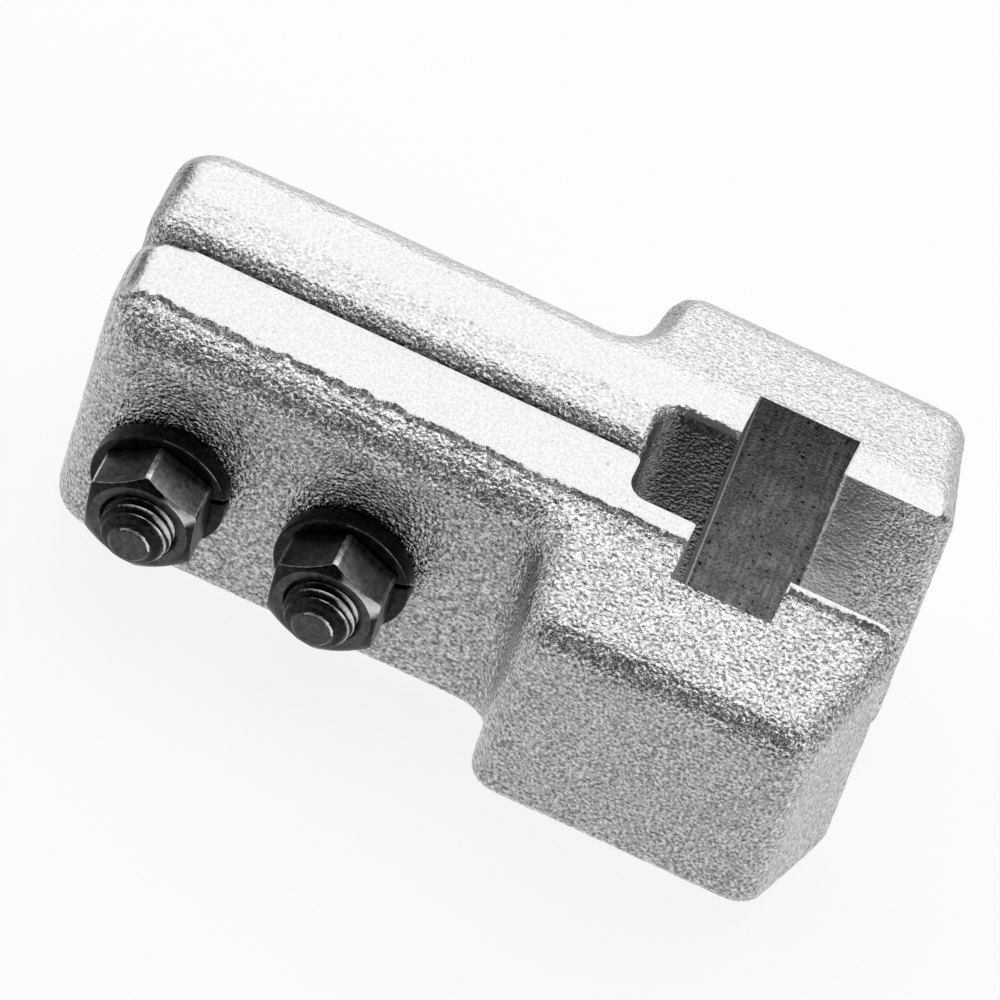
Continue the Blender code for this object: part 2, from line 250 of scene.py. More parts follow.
# Two darker blacks are copies of the oxide darkened as painted shade; the rubbed finish also carries painted
# highlights
steelLooks = {
    "blackSteel": {"dark": (0.13, 0.13, 0.132), "bloom": (0.28, 0.28, 0.285), "scuff": (0.40, 0.40, 0.40),
                   "share": 0.25, "roughness": (0.26, 0.38)},
    "wornSteel": {"dark": (0.28, 0.28, 0.28), "bloom": (0.80, 0.79, 0.78), "scuff": (0.86, 0.85, 0.84),
                  "share": 0.40, "roughness": (0.24, 0.36)},
    "rubbedSteelAndHighlight": {"dark": (0.10, 0.10, 0.10), "bloom": (0.28, 0.277, 0.274), "scuff": (0.56, 0.55, 0.54),
                    "share": 0.35, "roughness": (0.22, 0.36)},
    "shadowBlack": {"dark": (0.010, 0.010, 0.010), "bloom": (0.028, 0.028, 0.029), "scuff": (0.10, 0.10, 0.10),
                  "share": 0.20, "roughness": (0.26, 0.40)},
    "shadedBlack": {"dark": (0.044, 0.044, 0.045), "bloom": (0.088, 0.088, 0.09), "scuff": (0.22, 0.22, 0.22),
                  "share": 0.25, "roughness": (0.28, 0.42)},
}
# Bare steel laid where the attribute shows wear and painted highlights
steelWear = {"bareAndHighlight": (0.68, 0.67, 0.66), "bareAndHighlightRange": (0.75, 1.2), "cloud": 0.7, "bloomRange": (0.36, 0.66),
             "roughRange": (0.30, 0.70), "depth": 0.03 * mm}
castSlot = {"skin": 0, "wall": 1, "side": 2}
steelSlot = {name: slot for slot, name in enumerate(steelLooks)}


def grainNode(tree, look):
    node = addNode(tree, "ShaderNodeGroup", node_tree=castGrain)
    node.inputs["Pebble Size"].default_value = look["pebble"]
    return node.outputs


def makeCastSkin():
    # The casting's own attributes say how pebbly its skin is and where painted shade darkens it
    look = castLook
    material, tree, shader = newMaterial("galvanisedSkin", 1.0)
    grain = grainNode(tree, look)
    paint = addNode(tree, "ShaderNodeAttribute", attribute_name="grain").outputs["Fac"]
    base = blend(tree, spread(tree, grain["Mottle"], *look["paleRange"]), look["darkToneAndShade"], look["pale"])
    sparkle = grain["Sparkle"]
    # Painted shade specks, then painted glints, on the pebbles
    base = blend(tree, spread(tree, sparkle, *look["shadeRange"], 1.0, 0.0), base, look["shade"])
    base = blend(tree, spread(tree, sparkle, *look["glintRange"]), base, look["glint"])
    ground = blend(tree, spread(tree, sparkle, *look["groundRange"]), look["cloud"], look["ground"])
    base = blend(tree, spread(tree, paint, *look["pebblyRange"]), ground, base)
    # Painted shade: a darker colour multiplied in where the attribute says
    paintedShade = addNode(tree, "ShaderNodeAttribute", attribute_name="paintedShade").outputs["Fac"]
    base = blend(tree, paintedShade, base, look["paintedShade"], "MULTIPLY")
    pits = calculate(tree, "MULTIPLY", grain["Pits"], spread(tree, paint, 0.0, 1.0, *look["pitShare"]))
    feed(tree, shader.inputs["Base Color"], blend(tree, pits, base, look["pit"]))
    roughness = spread(tree, grain["Mottle"], *look["roughRange"], *look["roughness"])
    feed(tree, shader.inputs["Roughness"], roughness)
    emboss(tree, shader, calculate(tree, "MULTIPLY", grain["Height"], paint), look["depth"])
    return material


def makeWall(name, look):
    # A cut wall with marks running down it, dark specks and painted glints, a light line in its corner at the
    # pocket's start and a band of painted shade in its corner at the pocket's end
    material, tree, shader = newMaterial(name, 1.0)
    grain = grainNode(tree, look)
    place = addNode(tree, "ShaderNodeTexCoord").outputs["Object"]
    drawn = addNode(tree, "ShaderNodeMapping", inputs={"Scale": look["stretch"]})
    feed(tree, drawn.inputs["Vector"], place)
    marks = noiseNode(tree, drawn.outputs["Vector"], *look["marks"])
    axes = addNode(tree, "ShaderNodeSeparateXYZ")
    feed(tree, axes.inputs["Vector"], place)
    along = axes.outputs["X"]
    cloudy = spread(tree, grain["Mottle"], *look["cloudRange"])
    tone = calculate(tree, "MULTIPLY", spread(tree, marks, *look["marksRange"]), cloudy)
    # Painted glints in the wall's tone
    glints = spread(tree, grain["Sparkle"], *look["sparkleRange"], *look["sparkleTone"])
    base = blend(tree, calculate(tree, "ADD", tone, glints), look["darkToneAndShade"], look["pale"])
    specks = noiseNode(tree, place, *look["speck"])
    base = blend(tree, spread(tree, specks, *look["speckRange"], 0.0, look["specks"]), base, look["pit"])
    # Painted shade in the corner at the pocket's end
    base = blend(tree, spread(tree, along, *look["shade"], 0.0, look["shadeShare"]), base, look["pit"])
    base = blend(tree, spread(tree, along, *look["corner"], look["cornerShare"], 0.0), base, look["line"])
    feed(tree, shader.inputs["Base Color"], base)
    feed(tree, shader.inputs["Roughness"], spread(tree, marks, *look["marksRange"], *look["roughness"]))
    emboss(tree, shader, grain["Height"], look["depth"])
    return material


def makeSteel(name):
    # The fastener's own attribute lays the steel bare in ragged patches: wear, and painted highlights on the
    # lit side
    look = steelLooks[name]
    material, tree, shader = newMaterial(name, 1.0)
    scuff = addNode(tree, "ShaderNodeGroup", node_tree=steelScuff).outputs
    cloud = scuff["Cloud"]
    base = blend(tree, spread(tree, cloud, *steelWear["bloomRange"]), look["dark"], look["bloom"])
    wornLitArc = calculate(tree, "MULTIPLY", scuff["Scuff"], look["share"])
    base = blend(tree, wornLitArc, base, look["scuff"])
    wearAndHighlight = addNode(tree, "ShaderNodeAttribute", attribute_name="wearAndHighlight").outputs["Fac"]
    wearAndHighlight = calculate(tree, "ADD", wearAndHighlight, calculate(tree, "MULTIPLY", cloud, steelWear["cloud"]))
    base = blend(tree, spread(tree, wearAndHighlight, *steelWear["bareAndHighlightRange"]), base, steelWear["bareAndHighlight"])
    feed(tree, shader.inputs["Base Color"], base)
    feed(tree, shader.inputs["Roughness"], spread(tree, cloud, *steelWear["roughRange"], *look["roughness"]))
    emboss(tree, shader, scuff["Height"], steelWear["depth"])
    return material


castFinishes = (makeCastSkin(), makeWall("machinedWall", wallLook), makeWall("shadedMachinedSide", shadedSideLook))
steelFinishes = tuple(makeSteel(name) for name in steelLooks)
print("finishes made")


# The two cast halves: the CAD shape on a fine even mesh, with the sand's relief pressed into it

opening = {"start": 30.9 * mm, "end": 48.4 * mm, "reach": 19.4 * mm, "crisp": 0.35 * mm,
           "closedStart": 18.4 * mm, "closedReach": 9.4 * mm, "closedMargin": (0.6 * mm, 0.3 * mm),
           "closedFacing": 0.6, "openReach": 11.2 * mm, "armFade": (3.0 * mm, 14.0 * mm),
           "wallMargin": 0.12 * mm, "wallFacing": 0.4}
# Each half's shares of painted shade on its upright outer faces, its ends and its open arm
castHalves = {
    "rear": {"node": "rear_half", "body": "rear_body", "side": 1.0, "crease": 15.2 * mm, "seed": 3.0,
             "darkToneAndShade": 0.15, "tailShade": 0.45, "headShade": 0.15, "armShade": 0.33},
    "front": {"node": "front_half", "body": "front_body", "side": -1.0, "crease": 13.4 * mm, "seed": 11.0,
              "darkToneAndShade": 0.32, "tailShade": 0.15, "headShade": 0.15, "armShade": 0.33},
}
strip = {"rise": 0.7 * mm, "ramp": 1.2 * mm, "slope": math.tan(math.radians(10.5)), "band": 2.6 * mm,
         "wander": (8.0 * mm, 0.85 * mm), "notch": (2.7 * mm, 0.85 * mm), "nick": (1.2 * mm, 0.38 * mm),
         "lump": (1.3 * mm, 0.35 * mm), "lumpRise": 0.6, "lumpSeed": 8.0, "seedStep": 4.0,
         "groove": (0.32 * mm, 0.80 * mm), "inset": 1.0 * mm, "facing": (0.4, 0.8), "slack": 0.03 * mm,
         "pocketMargin": 0.6 * mm}
relief = {"levels": 8, "density": 0.90, "wave": (9.0 * mm, 0.10 * mm), "lump": (2.4 * mm, 0.06 * mm),
          "pebble": (1.2 * mm, 0.05 * mm), "sink": 0.7, "seedStep": 7.3, "fade": (0.5 * mm, 1.4 * mm),
          "sharp": 50.0}
# How pebbly each part of the skin is, and how much painted shade darkens the closed arm
skin = {"topFacing": 0.5, "ground": 0.15, "rough": 1.0, "slope": 0.75, "slopeFrom": 0.75,
        "arm": (0.25, 1.05), "rearWing": (0.25, 0.30), "wingWidth": 4.0 * mm, "rearTop": 0.52, "steep": 0.8,
        "steepWidth": 0.7 * mm, "calm": 0.24, "calmRange": (7.0 * mm, 8.8 * mm), "closedArm": 0.8,
        "closedShade": 0.85, "outerFacing": (0.5, 0.9), "outerLean": (0.15, 0.5), "tailFacing": (0.12, 0.55),
        "headFacing": (0.5, 0.9), "armFacing": (0.5, 0.9)}
leanBack = {"foot": 51.0 * mm, "reach": 8.4 * mm, "back": 1.6 * mm, "down": 1.3 * mm}
softEnd = {"from": -50.0 * mm, "step": 0.6 * mm, "passes": 24, "factor": 0.5, "crispSplit": 1.5 * mm,
           "tip": -60.0 * mm, "tipStep": 0.25 * mm}


def fineCopy(half, name):
    bm = bmesh.new()
    bm.from_mesh(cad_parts[half["node"]].data)
    bmesh.ops.remove_doubles(bm, verts=bm.verts, dist=weld["mesh"])
    piece = meshObject(name, bm)
    grid = piece.modifiers.new("even", "REMESH")
    grid.mode = "SHARP"
    grid.octree_depth = relief["levels"]
    grid.scale = relief["density"]
    grid.sharpness = 1.0
    grid.use_remove_disconnected = False
    return bakeModifiers(piece)


def inPocket(place, margin):
    along = opening["start"] - margin < place.x < opening["end"] + margin
    return along and abs(place.y) < opening["reach"] + margin


def wobble(place, size, seed):
    return noise.noise(Vector((place.x / size + seed, place.y / size - seed, place.z / size + 2.0 * seed)))


def sandRelief(place, seed):
    # Sunk below the CAD surface, apart from the odd highest crest
    depth = 0.0
    for index, key in enumerate(("wave", "lump", "pebble")):
        size, amount = relief[key]
        depth += amount * (wobble(place, size, seed + relief["seedStep"] * index) - relief["sink"])
    return depth


def stripRamp(reach, edge):
    return -strip["rise"] * min(1.0, max(0.0, (reach - edge) / strip["ramp"]))


def raggedFall(place, half):
    # The rough skin beyond the ground strip, cut off at the level of the strip
    reach = place.y * half["side"]
    edge = half["crease"]
    near = 1.0 - smoothStep(abs(reach - edge - strip["ramp"] / 2.0), strip["band"] * 0.5, strip["band"])
    if near == 0.0:
        return 0.0
    line = Vector((place.x, 0.0, 0.0))
    shift = -strip["inset"]
    for index, key in enumerate(("wander", "notch", "nick")):
        size, amount = strip[key]
        shift += amount * wobble(line, size, half["seed"] + strip["seedStep"] * index)
    size, amount = strip["lump"]
    width, depth = strip["groove"]
    rough = stripRamp(reach - shift, edge)
    lumps = amount * wobble(Vector((place.x, place.y, 0.0)), size, half["seed"] + strip["lumpSeed"])
    rough += lumps * smoothStep(-rough, 0.0, strip["lumpRise"] * strip["rise"])
    rough -= depth * math.exp(-((reach - shift - edge - width) / width) ** 2)
    ceiling = strip["slope"] * max(0.0, reach - edge)
    return (min(rough, ceiling) - stripRamp(reach, edge)) * near


def alongArm(place):
    # From 0 at the inner part of the open arm to 1 near the head's end
    start, stop = opening["armFade"]
    return smoothStep(place.x, opening["end"] + start, opening["end"] + stop)


def frontGrain(reach, out, half, level):
    if reach < half["crease"] + strip["band"] and level:
        return skin["ground"]
    if out.z > skin["topFacing"]:
        nearCrease = smoothStep(reach, skin["slopeFrom"] * half["crease"], half["crease"])
        return skin["ground"] + skin["slope"] * nearCrease
    return skin["rough"]


def rearGrain(place, reach, out, half):
    upright = abs(out.z) < skin["topFacing"]
    if upright and place.x > opening["end"] and reach < opening["openReach"] + mm:
        least, more = skin["arm"]
        return least + more * alongArm(place)
    if out.z < skin["topFacing"]:
        return skin["rough"]
    if reach > half["crease"]:
        least, more = skin["rearWing"]
        return least + more * smoothStep(reach, half["crease"], half["crease"] + skin["wingWidth"])
    steep = 1.0 - smoothStep(reach, leanBack["back"], leanBack["back"] + skin["steepWidth"])
    calm = smoothStep(reach, *skin["calmRange"])
    return skin["rearTop"] + skin["steep"] * steep - skin["calm"] * calm


def skinGrain(place, out, half, kind, level):
    # How pebbly the skin is: ground smooth along the split of the front half, finer on the rear half's top
    reach = place.y * half["side"]
    if kind == "front":
        return frontGrain(reach, out, half, level)
    return rearGrain(place, reach, out, half)


def paintedSkinShade(place, out, half):
    # Painted shade: darker on upright outer faces, both ends and the inner part of the open arm
    facing = out.y * half["side"]
    upright = 1.0 - smoothStep(abs(out.z), *skin["outerLean"])
    outer = half["darkToneAndShade"] * smoothStep(facing, *skin["outerFacing"]) * upright
    tail = half["tailShade"] * smoothStep(-out.x, *skin["tailFacing"])
    head = half["headShade"] * smoothStep(out.x, *skin["headFacing"])
    arm = 0.0
    if place.x > opening["end"] and place.y * half["side"] > mm:
        arm = half["armShade"] * smoothStep(-facing, *skin["armFacing"]) * (1.0 - alongArm(place))
    return max(outer, tail, head, arm)


def inClosedArm(place, out):
    before, beyond = opening["closedMargin"]
    along = opening["closedStart"] - before < place.x < opening["start"] + beyond
    return along and abs(place.y) < opening["closedReach"] and abs(out.z) < opening["closedFacing"]


def leanSplit(bm, box):
    # The rear half's edge leans back from the split, and its top falls a little towards it
    low, high = box
    for vertex in bm.verts:
        rise = (vertex.co.z - leanBack["foot"]) / (high.z - leanBack["foot"])
        share = 1.0 - (vertex.co.y - low.y) / leanBack["reach"]
        if rise > 0.0 and share > 0.0:
            vertex.co.y += leanBack["back"] * rise * share
            vertex.co.z -= leanBack["down"] * rise * share


def roundEnd(bm):
    # Softer towards the shank's end, in passes that each start a little nearer to it
    for number in range(softEnd["passes"]):
        limit = softEnd["from"] - softEnd["step"] * number
        tip = softEnd["tip"] - softEnd["tipStep"] * number
        soft = [vertex for vertex in bm.verts
                if vertex.co.x < (limit if abs(vertex.co.y) > softEnd["crispSplit"] else tip)]
        bmesh.ops.smooth_vert(bm, verts=soft, factor=softEnd["factor"], use_axis_x=True, use_axis_y=True,
                              use_axis_z=True)


def refineStrip(bm, half):
    # A finer mesh where the strip's ragged edge runs
    band = set()
    for face in bm.faces:
        spot = face.calc_center_median()
        onTop = face.normal.z > skin["topFacing"]
        beyond = abs(spot.y * half["side"] - half["crease"] - strip["ramp"] / 2.0)
        if onTop and beyond < strip["band"] and not inPocket(spot, strip["pocketMargin"]):
            band.update(face.edges)
    bmesh.ops.subdivide_edges(bm, edges=list(band), cuts=2, use_grid_fill=True)


def pressRelief(bm, half, kind, box):
    low, high = box
    leaning, flat = strip["facing"]
    grain = bm.verts.layers.float.new("grain")
    paintedShade = bm.verts.layers.float.new("paintedShade")
    moves = []
    for vertex in bm.verts:
        place = vertex.co
        out = vertex.normal.copy()
        reach = place.y * half["side"]
        fade = smoothStep(reach, *relief["fade"])
        fall = 0.0
        level = False
        if inPocket(place, opening["crisp"]):
            fade = 0.0
        elif kind == "front" and out.z > leaning:
            fall = raggedFall(place, half) * smoothStep(out.z, leaning, flat)
            level = place.z + fall > high.z - strip["slack"]
            if level and reach < half["crease"] + strip["band"]:
                fade = 0.0
        inside = inClosedArm(place, out)
        vertex[grain] = skin["closedArm"] if inside else skinGrain(place, out, half, kind, level)
        # Painted shade inside the closed arm, and on upright outer faces, the ends and the open arm's inner
        # part
        vertex[paintedShade] = skin["closedShade"] if inside else paintedSkinShade(place, out, half)
        spot = place + out * sandRelief(place, half["seed"]) * fade + Vector((0.0, 0.0, fall))
        moves.append([min(max(spot[axis], low[axis]), high[axis]) for axis in range(3)])
    for vertex, spot in zip(bm.verts, moves):
        vertex.co = spot


def makeCasting(kind):
    half = castHalves[kind]
    piece = fineCopy(half, kind + "Casting")
    bm = bmesh.new()
    bm.from_mesh(piece.data)
    bmesh.ops.recalc_face_normals(bm, faces=bm.faces)
    box = nodeBox(half["node"])
    roundEnd(bm)
    if kind == "front":
        refineStrip(bm, half)
    else:
        leanSplit(bm, box)
    bm.normal_update()
    pressRelief(bm, half, kind, box)
    bm.normal_update()
    for face in bm.faces:
        face.smooth = True
        face.material_index = castSlot["skin"]
        upright = abs(face.normal.z) < opening["wallFacing"]
        if upright and inPocket(face.calc_center_median(), opening["wallMargin"]):
            # Pocket walls facing sideways take the darker copy, as painted shade
            face.material_index = castSlot["wall" if abs(face.normal.y) > 0.5 else "side"]
    bmesh.ops.triangulate(bm, faces=[face for face in bm.faces if len(face.verts) > 4])
    bm.to_mesh(piece.data)
    bm.free()
    piece.data.set_sharp_from_angle(angle=math.radians(relief["sharp"]))
    dress(piece, castFinishes)
    stand(piece, half["body"], half["node"])


for kind in castHalves:
    makeCasting(kind)


# Bolts, nuts and spring washers, made about the Z axis and then laid along the bolt's line

fastener = {"thread": 12.0 * mm, "pitch": 1.75 * mm, "rootDepth": 1.05 * mm, "crest": 0.15, "flank": 0.86,
            "pitchSteps": 14, "turnSteps": 60, "flats": 18.0 * mm, "faceInset": 0.75 * mm, "chamfer": 30.0,
            "corner": 0.55 * mm, "edge": 0.08 * mm, "edgeAngle": 20.0, "rubbedBeyond": 8.6 * mm, "sides": 72,
            "ringSides": 96, "coneFacing": (0.3, 0.95), "chamferFacing": (0.75, 0.95), "sharp": 28.0}
# The bolt's bearings set the painted highlights on its rim and crests
boltSizes = {"headHeight": 7.5 * mm, "threadLength": 26.0 * mm, "crestFromEnd": 1.65 * mm, "crestTurn": 75.0,
             "tip": ((0.0, 3.10 * mm), (0.38 * mm, 3.55 * mm), (0.85 * mm, 3.75 * mm), (1.30 * mm, 5.00 * mm),
                     (1.65 * mm, 5.20 * mm), (2.50 * mm, 5.70 * mm), (3.30 * mm, 6.00 * mm)),
             "neckGap": 0.1 * mm, "neckReach": 1.1 * mm, "neckTaper": 0.5 * mm, "headSink": 2.0 * mm,
             "rimHighlight": (5.0, 130.0), "rimSoft": 12.0, "rimSlack": 0.02 * mm,
             "rimRise": (0.02 * mm, 0.16 * mm), "broadHighlight": (15.0, 70.0), "broadSoft": 15.0,
             "wearWidth": (0.32 * mm, 0.65 * mm), "wearShare": 0.3, "wearAndHighlightLevel": (0.44, 0.36),
             "highlightBearing": 42.0, "wearReach": (5.0 * mm, 5.5 * mm)}
# Nut sizes, with the bearings of flats darkened as painted shade and of a chamfer arc worn bright, partly as
# painted highlight
nutSizes = {"bore": 12.6 * mm, "sink": 0.45 * mm, "turn": {"1": 38.0, "2": 34.0},
            "wornLitArc": {"1": (30.0, 78.0), "2": (20.0, 85.0)}, "wornLitSoft": 12.0, "wearAndHighlightLevel": 0.78,
            "roundFacing": 0.85, "flatFacing": 0.1, "shadedBearings": (100.0, 155.0)}
# The washer's rim arc is lit as a painted highlight
washerSizes = {"bore": 12.6 * mm, "split": 0.8 * mm, "slant": 35.0, "turn": 14.0, "edge": 0.45 * mm,
               "rimAngle": 40.0, "rimFacing": (0.45, 0.75), "litRimArc": (-15.0, 100.0)}


def turnedSolid(name, profile, sides):
    bm = bmesh.new()
    points = [bm.verts.new((radius, 0.0, height)) for radius, height in profile]
    edges = [bm.edges.new(pair) for pair in zip(points, points[1:])]
    bmesh.ops.spin(bm, geom=points + edges, axis=(0, 0, 1), cent=(0, 0, 0), angle=math.tau, steps=sides,
                   use_merge=True)
    bmesh.ops.remove_doubles(bm, verts=bm.verts, dist=weld["mesh"])
    bmesh.ops.recalc_face_normals(bm, faces=bm.faces)
    piece = meshObject(name, bm)
    dress(piece, steelFinishes)
    return piece


def bearingOf(across, upward):
    return math.degrees(math.atan2(upward, across))


def hexSolid(name, low, high):
    # A hexagon with worn corners, whose top a turned envelope chamfers to a round face
    half = fastener["flats"] / 2.0
    corner = half / math.cos(math.radians(30.0))
    bm = bmesh.new()
    bmesh.ops.create_cone(bm, cap_ends=True, segments=6, radius1=corner, radius2=corner, depth=high - low,
                          matrix=Matrix.Translation((0, 0, (low + high) / 2.0)))
    upright = [edge for edge in bm.edges if abs(edge.verts[0].co.z - edge.verts[1].co.z) > mm]
    made = bmesh.ops.bevel(bm, geom=upright, affect="EDGES", offset=fastener["corner"], offset_type="OFFSET",
                           segments=4, profile=0.5, material=-1, clamp_overlap=True)
    for face in made["faces"]:
        face.material_index = steelSlot["wornSteel"]
    piece = meshObject(name, bm)
    dress(piece, steelFinishes)
    face = half - fastener["faceInset"]
    wide = corner + fastener["faceInset"]
    drop = (wide - face) * math.tan(math.radians(fastener["chamfer"]))
    profile = [(0.0, high), (face, high), (wide, high - drop), (wide, low - drop), (0.0, low - drop)]
    envelope = turnedSolid(name + "Envelope", profile, fastener["ringSides"])
    least, most = fastener["coneFacing"]
    for polygon in envelope.data.polygons:
        if least < abs(polygon.normal.z) < most:
            polygon.material_index = steelSlot["rubbedSteelAndHighlight"]
    return cutWith(piece, envelope, "INTERSECT")


def threadOutline():
    # One pitch from root to root, in short steps
    radius = fastener["thread"] / 2.0
    root = radius - fastener["rootDepth"]
    pitch = fastener["pitch"]
    crest = fastener["crest"] * pitch / 2.0
    flank = (pitch / 2.0 - crest) * fastener["flank"]
    steps = fastener["pitchSteps"]
    corners = ((0.0, root), (pitch / 2.0 - crest - flank, root), (pitch / 2.0 - crest, radius),
               (pitch / 2.0 + crest, radius), (pitch / 2.0 + crest + flank, root), (pitch, root))
    rises = {rise for rise, reach in corners} | {pitch * step / steps for step in range(steps + 1)}
    return [(alongTable(rise, corners), rise) for rise in sorted(rises)]


def threadedRod(name, low, high):
    # The outline swept along a helix, then trimmed to the stepped tip and squared off at both ends
    pitch = fastener["pitch"]
    phase = high - boltSizes["crestFromEnd"] - pitch * (0.5 + boltSizes["crestTurn"] / 360.0)
    start = phase - pitch * math.ceil((phase - low) / pitch + 1.5)
    steps = fastener["turnSteps"]
    turns = math.ceil((high - start) / pitch) + 1
    bm = bmesh.new()
    points = [bm.verts.new((reach, 0.0, start + rise)) for reach, rise in threadOutline()]
    edges = [bm.edges.new(pair) for pair in zip(points, points[1:])]
    bmesh.ops.spin(bm, geom=points + edges, axis=(0, 0, 1), cent=(0, 0, 0), dvec=(0, 0, pitch / steps),
                   angle=math.tau * turns, steps=steps * turns)
    root = fastener["thread"] / 2.0 - fastener["rootDepth"]
    for vertex in bm.verts:
        flat = vertex.co.to_2d()
        limit = root if vertex.co.z < low else alongTable(high - vertex.co.z, boltSizes["tip"])
        flat *= min(1.0, limit / flat.length)
        vertex.co = (flat.x, flat.y, min(max(vertex.co.z, low), high))
    bmesh.ops.remove_doubles(bm, verts=bm.verts, dist=weld["thread"])
    bmesh.ops.dissolve_degenerate(bm, edges=bm.edges, dist=weld["edge"])
    bmesh.ops.holes_fill(bm, edges=[edge for edge in bm.edges if edge.is_boundary], sides=0)
    bmesh.ops.recalc_face_normals(bm, faces=bm.faces)
    # Painted shade over the thread, a little lighter at the very tip
    for face in bm.faces:
        beyond = high - face.calc_center_median().z > boltSizes["tip"][1][0]
        face.material_index = steelSlot["shadowBlack" if beyond else "shadedBlack"]
    bmesh.ops.triangulate(bm, faces=[face for face in bm.faces if len(face.verts) > 4])
    piece = meshObject(name, bm)
    dress(piece, steelFinishes)
    return piece


def rubEdges(piece):
    # Small rounds along the sharp edges, rubbed where they stand furthest out
    bm = bmesh.new()
    bm.from_mesh(piece.data)
    bmesh.ops.remove_doubles(bm, verts=bm.verts, dist=weld["edge"])
    sharp = math.radians(fastener["edgeAngle"])
    edges = [edge for edge in bm.edges if len(edge.link_faces) == 2 and edge.calc_face_angle(0.0) > sharp]
    made = bmesh.ops.bevel(bm, geom=edges, affect="EDGES", offset=fastener["edge"], offset_type="OFFSET",
                           segments=2, profile=0.5, material=-1, clamp_overlap=True)
    for face in made["faces"]:
        outside = face.calc_center_median().to_2d().length > fastener["rubbedBeyond"]
        face.material_index = steelSlot["rubbedSteelAndHighlight" if outside else "blackSteel"]
    bm.to_mesh(piece.data)
    bm.free()


def layOnLine(piece, line, turn=0.0):
    # The fastener's Z becomes -Y of the clamp, on the bolt's own line
    laid = Matrix.Translation((line.x, 0.0, line.z)) @ Matrix.Rotation(math.radians(90.0), 4, "X")
    piece.data.transform(laid @ Matrix.Rotation(math.radians(turn), 4, "Z"))
    bm = bmesh.new()
    bm.from_mesh(piece.data)
    bmesh.ops.remove_doubles(bm, verts=bm.verts, dist=weld["mesh"])
    bmesh.ops.recalc_face_normals(bm, faces=bm.faces)
    for face in bm.faces:
        face.smooth = True
    bm.to_mesh(piece.data)
    bm.free()
    piece.data.set_sharp_from_angle(angle=math.radians(fastener["sharp"]))


def paintWearAndHighlight(piece, line, wearAndHighlightAt):
    # Wear and painted highlight at each face corner, from its depth along the bolt, its reach from the axis
    # and its bearing
    bm = bmesh.new()
    bm.from_mesh(piece.data)
    wearAndHighlight = bm.loops.layers.float.new("wearAndHighlight")
    for face in bm.faces:
        for loop in face.loops:
            place = loop.vert.co
            across, upward = place.x - line.x, place.z - line.z
            loop[wearAndHighlight] = wearAndHighlightAt(face, place.y, math.hypot(across, upward), bearingOf(across, upward))
    bm.to_mesh(piece.data)
    bm.free()


def within(value, limits, soft):
    low, high = limits
    return smoothStep(value, low - soft, low + soft) * (1.0 - smoothStep(value, high - soft, high + soft))


def boltWearAndHighlight(end):
    # Worn bright crests, with painted highlights strongest at the upper right, and a painted highlight on one
    # side of the rim
    size = boltSizes
    rimEnd = size["tip"][1][0] + size["rimSlack"]
    narrow, broader = size["wearWidth"]
    middle, swing = size["wearAndHighlightLevel"]

    def wearAndHighlightAt(face, depth, reach, bearing):
        fromEnd = depth - end
        if fromEnd < rimEnd:
            return within(bearing, size["rimHighlight"], size["rimSoft"]) * smoothStep(fromEnd, *size["rimRise"])
        if fromEnd > size["threadLength"] / 2.0:
            return 0.0
        limit = alongTable(fromEnd, size["tip"])
        wide = narrow + broader * within(bearing, size["broadHighlight"], size["broadSoft"])
        crest = smoothStep(reach, limit - wide, limit - size["wearShare"] * wide)
        crest *= smoothStep(limit, *size["wearReach"])
        return crest * (middle + swing * math.cos(math.radians(bearing - size["highlightBearing"])))
    return wearAndHighlightAt


def nutWearAndHighlight(number):
    # The chamfer is worn bare on its lit side, partly as a painted highlight
    def wearAndHighlightAt(face, depth, reach, bearing):
        if face.material_index != steelSlot["shadowBlack"]:
            return 0.0
        return nutSizes["wearAndHighlightLevel"] * within(bearing, nutSizes["wornLitArc"][number], nutSizes["wornLitSoft"])
    return wearAndHighlightAt


def onChamfer(facing):
    least, most = fastener["chamferFacing"]
    return least < facing < most


def makeBolt(number, line):
    low, high = nodeBox("bolt_" + number)
    end = -low.y
    back = -high.y
    inHead = back + boltSizes["headHeight"] - boltSizes["headSink"]
    radius = fastener["thread"] / 2.0
    neck = radius - fastener["rootDepth"] - boltSizes["neckGap"]
    threadStart = end - boltSizes["threadLength"]
    rod = threadedRod("boltThread" + number, threadStart, end)
    neckEnd = threadStart + boltSizes["neckReach"]
    shank = turnedSolid("boltShank" + number,
                        [(0.0, neckEnd), (neck, neckEnd), (radius, threadStart - boltSizes["neckTaper"]),
                         (radius, inHead), (0.0, inHead)], fastener["sides"])
    bolt = hexSolid("boltPiece" + number, -boltSizes["headHeight"], 0.0)
    bolt.data.transform(Matrix.Translation((0, 0, back)) @ Matrix.Rotation(math.pi, 4, "X"))
    rubEdges(bolt)
    for polygon in bolt.data.polygons:  # painted shade: the head is as dark as the nuts' round faces
        if polygon.material_index == steelSlot["blackSteel"] or onChamfer(abs(polygon.normal.z)):
            polygon.material_index = steelSlot["shadedBlack"]
    cutWith(bolt, shank, "UNION")
    cutWith(bolt, rod, "UNION")
    layOnLine(bolt, line)
    paintWearAndHighlight(bolt, line, boltWearAndHighlight(low.y))
    stand(bolt, "rear_body", "bolt_" + number)


